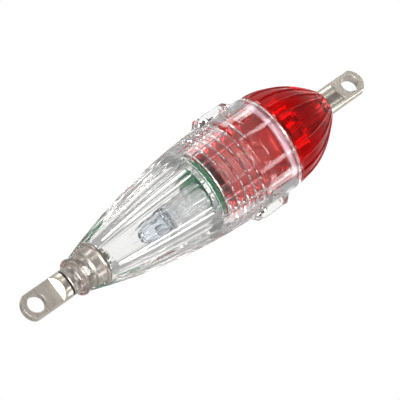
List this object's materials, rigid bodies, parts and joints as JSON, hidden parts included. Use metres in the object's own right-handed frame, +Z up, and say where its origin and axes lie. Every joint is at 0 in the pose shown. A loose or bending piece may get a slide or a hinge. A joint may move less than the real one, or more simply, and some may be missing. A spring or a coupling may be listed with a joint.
{
  "type": "underwater fishing lamp",
  "caption": "Clear fluted teardrop lamp with a metal eye at each end, an LED in its hollow and a red ribbed screw cap over its cells.",
  "frame": {"origin": "centre of the cross hole in the line eye, the metal eye at the clear end, from which the lamp hangs", "axes": "+Z up along the lamp's axis, out of the line eye's tip, so the red cap points down; +X through one grip lug; the line eye's hole runs along Y turned 10 degrees about Z, as the swivel stands at rest"},
  "size_m": [0.0252, 0.0224, 0.0918],
  "materials": {
    "nickel_plate": "nickel-plated, finely turned and milled",
    "spring_steel": "bright drawn",
    "lead_wire": "tinned",
    "contact_brass": "bright stamped",
    "clear_plastic": "polished, water clear",
    "spacer_plastic": "clear moulded",
    "lens_epoxy": "polished, clear",
    "red_plastic": "polished, translucent",
    "black_rubber": "satin",
    "clear_rubber": "satin, milky",
    "board": "green solder mask on glass fibre",
    "chip_body": "moulded",
    "chip_ceramic": "fired ceramic",
    "cell_steel": "drawn nickel-plated steel",
    "sleeve_film": "thin milky film"
  },
  "bodies": {
    "line_eye": {"tail_eye": "nickel_plate", "stem_retainer": "spring_steel"},
    "housing": {"clear_housing": "clear_plastic", "swivel_barrel": "nickel_plate", "swivel_washer": "black_rubber", "stem_seal": "black_rubber", "led_lamp": "lens_epoxy", "led_anvil_lead": "lead_wire", "led_post_lead": "lead_wire", "led_spacer": "spacer_plastic", "circuit_board": "board", "flasher_chip": "chip_body", "timing_resistor": "chip_body", "timing_capacitor": "chip_ceramic", "ring_contact": "contact_brass", "contact_spring": "spring_steel"},
    "battery_pack": {"battery_cell_1": "cell_steel", "battery_cell_2": "cell_steel", "battery_cell_3": "cell_steel", "battery_sleeve": "sleeve_film", "negative_strip": "contact_brass"},
    "cap": {"screw_cap": "red_plastic", "cap_seal": "clear_rubber", "cap_contact": "spring_steel", "cap_eye": "nickel_plate", "cap_eye_seal": "black_rubber", "cap_eye_nut": "contact_brass"}
  },
  "joints": [
    {"name": "swivel", "type": "hinge", "parent": "line_eye", "child": "housing", "pos_m": [0, 0, -0.0075], "axis": [0, 0, 1], "continuous": true},
    {"name": "cap_advance", "type": "slide", "parent": "housing", "child": "battery_pack", "axis": [0, 0, -1], "range_m": [0, 0.0107], "deforming": ["contact_spring"]},
    {"name": "cap_turn", "type": "hinge", "parent": "battery_pack", "child": "cap", "pos_m": [0, 0, -0.062], "axis": [0, 0, -1], "range_deg": [0, 1710]}
  ],
  "couplings": [
    {"joint": "cap_advance", "follows": "cap_turn", "m_per_rad": 0.0003581}
  ]
}
